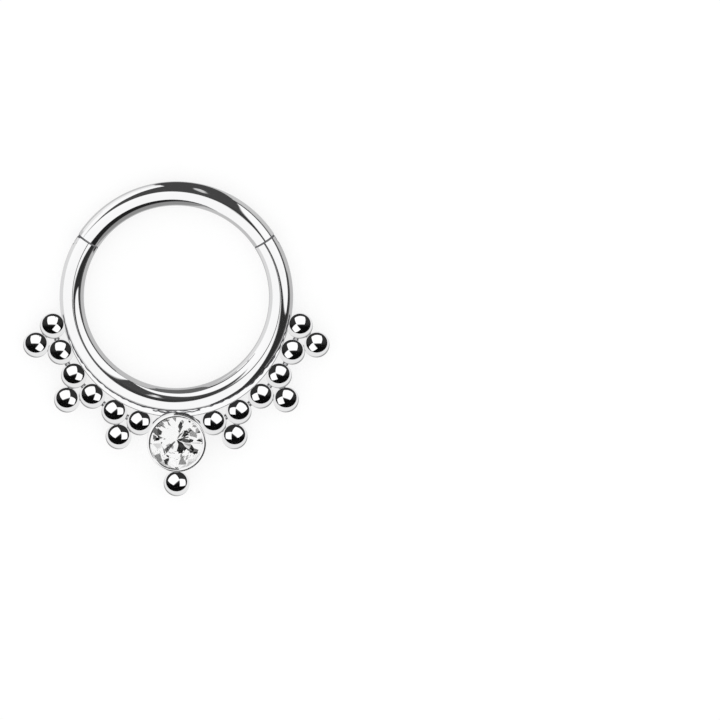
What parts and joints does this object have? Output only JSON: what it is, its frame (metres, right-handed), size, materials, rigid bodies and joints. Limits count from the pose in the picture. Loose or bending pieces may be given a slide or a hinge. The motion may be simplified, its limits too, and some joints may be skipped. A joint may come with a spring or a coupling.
{
  "type": "clicker ring",
  "caption": "Hinged clicker ring for a piercing: a round wire hoop with a swing-open arc, an edging of soldered beads and a round crystal in a bezel.",
  "frame": {"origin": "middle of the ornament's outline, on the surface that it lies on", "axes": "+Z out of the front of the ring, which the stone faces; +Y from the beaded lower half to the hinged upper arc; +X to the wearer's view of the click end, so the hinge is at -X"},
  "size_m": [0.0166, 0.0172, 0.0019],
  "materials": {
    "polished_steel": "mirror-polished surgical steel with fine hairline scratches",
    "pin_steel": "plain drawn steel wire",
    "crystal": "clear, round brilliant cut, polished facets"
  },
  "bodies": {
    "body": {"ring_body": "polished_steel", "stone": "crystal", "hinge_pin": "pin_steel"},
    "segment": {"hinged_segment": "polished_steel"}
  },
  "joints": [
    {"name": "segment_hinge", "type": "hinge", "parent": "body", "child": "segment", "pos_m": [-0.00528, 0.00527, 0.00065], "axis": [0, 0, 1], "range_deg": [0, 70]}
  ]
}
